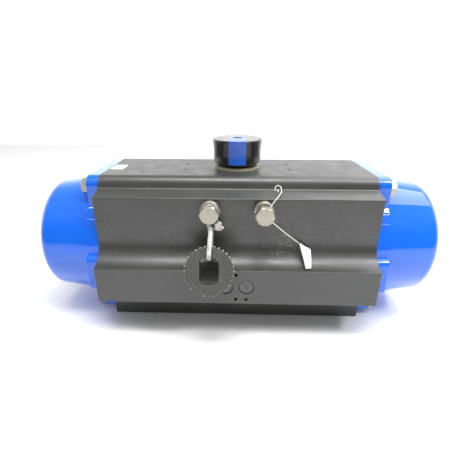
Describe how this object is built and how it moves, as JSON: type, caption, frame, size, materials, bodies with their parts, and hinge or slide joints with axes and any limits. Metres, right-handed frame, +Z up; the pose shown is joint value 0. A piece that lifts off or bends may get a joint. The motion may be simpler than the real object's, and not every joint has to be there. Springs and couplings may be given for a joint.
{
  "type": "rotary pneumatic actuator",
  "caption": "Spring-return rack and pinion rotary actuator with a finned long housing, round spring caps, travel stops, a position indicator and a hung drive insert.",
  "frame": {"origin": "drive axis at the mounting face", "axes": "+Z up the drive axis towards the indicator, +X along the housing, -Y is the side with the travel stops and air ports"},
  "size_m": [0.477, 0.2293, 0.2232],
  "materials": {
    "housing": "dark grey hard anodised, satin",
    "cap_paint": "gloss blue paint",
    "black_plastic": "gloss black",
    "blue_plastic": "gloss blue",
    "acetal": "cream",
    "stainless": "satin",
    "steel": "plated",
    "piston_aluminium": "die cast",
    "nitrile": "matte",
    "insert_alloy": "dark grey",
    "nylon": "natural",
    "bearing_plastic": "matte",
    "string": "white cotton",
    "paper": "white paper",
    "spring_steel": "coated",
    "plug_plastic": "dark grey"
  },
  "bodies": {
    "root": {"housing": "housing", "end_cap_left": "cap_paint", "end_cap_right": "cap_paint", "cap_seal_left": "nitrile", "cap_seal_right": "nitrile", "cap_bolts_left": "stainless", "cap_bolts_right": "stainless", "lower_bearing_bush": "bearing_plastic", "upper_bearing_bush": "bearing_plastic", "thrust_washer": "acetal", "port_plug_a": "plug_plastic", "port_plug_b": "plug_plastic", "blank_label": "paper", "stop_nut_left": "stainless", "stop_nut_right": "stainless", "stop_washer_left": "nitrile", "stop_washer_right": "nitrile", "spring_set_left": "spring_steel", "spring_set_right": "spring_steel", "spring_seat_left": "bearing_plastic", "spring_seat_right": "bearing_plastic"},
    "pinion": {"pinion": "steel", "stop_cam": "steel", "lower_pinion_seal": "nitrile", "upper_pinion_seal": "nitrile", "steel_washer": "stainless", "circlip": "spring_steel", "indicator_puck": "black_plastic", "indicator_stripe": "blue_plastic", "indicator_screw": "stainless"},
    "piston_left": {"piston_left": "piston_aluminium", "piston_seal_left": "nitrile", "wear_band_left": "bearing_plastic", "rack_pad_left": "bearing_plastic"},
    "piston_right": {"piston_right": "piston_aluminium", "piston_seal_right": "nitrile", "wear_band_right": "bearing_plastic", "rack_pad_right": "bearing_plastic"},
    "stop_bolt_left": {"stop_bolt_left": "stainless"},
    "stop_bolt_right": {"stop_bolt_right": "stainless", "string_loop": "string", "tag_string": "string", "string_tail": "string", "inspection_tag": "paper"},
    "hung_insert": {"drive_insert": "insert_alloy", "cable_tie": "nylon"}
  },
  "joints": [
    {"name": "drive_turn", "type": "hinge", "parent": "root", "child": "pinion", "pos_m": [0, 0, 0.094], "axis": [0, 0, 1], "range_deg": [0, 90], "stiffness_Nm_per_rad": 1.5, "springref_deg": -22.92},
    {"name": "piston_left_slide", "type": "slide", "parent": "root", "child": "piston_left", "axis": [-1, 0, 0], "range_m": [0, 0.044], "deforming": ["spring_set_left"]},
    {"name": "piston_right_slide", "type": "slide", "parent": "root", "child": "piston_right", "axis": [1, 0, 0], "range_m": [0, 0.044], "deforming": ["spring_set_right"]},
    {"name": "stop_left_travel", "type": "slide", "parent": "root", "child": "stop_bolt_left", "axis": [0, -1, 0], "range_m": [0, 0.005]},
    {"name": "stop_right_travel", "type": "slide", "parent": "root", "child": "stop_bolt_right", "axis": [0, -1, 0], "range_m": [0, 0.005]},
    {"name": "insert_swing", "type": "hinge", "parent": "stop_bolt_left", "child": "hung_insert", "pos_m": [-0.0295, -0.088, 0.157], "axis": [0, -0.9063, 0.4226], "range_deg": [-12, 12]}
  ],
  "couplings": [
    {"joint": "piston_left_slide", "follows": "drive_turn", "m_per_rad": 0.028},
    {"joint": "piston_right_slide", "follows": "drive_turn", "m_per_rad": 0.028}
  ]
}
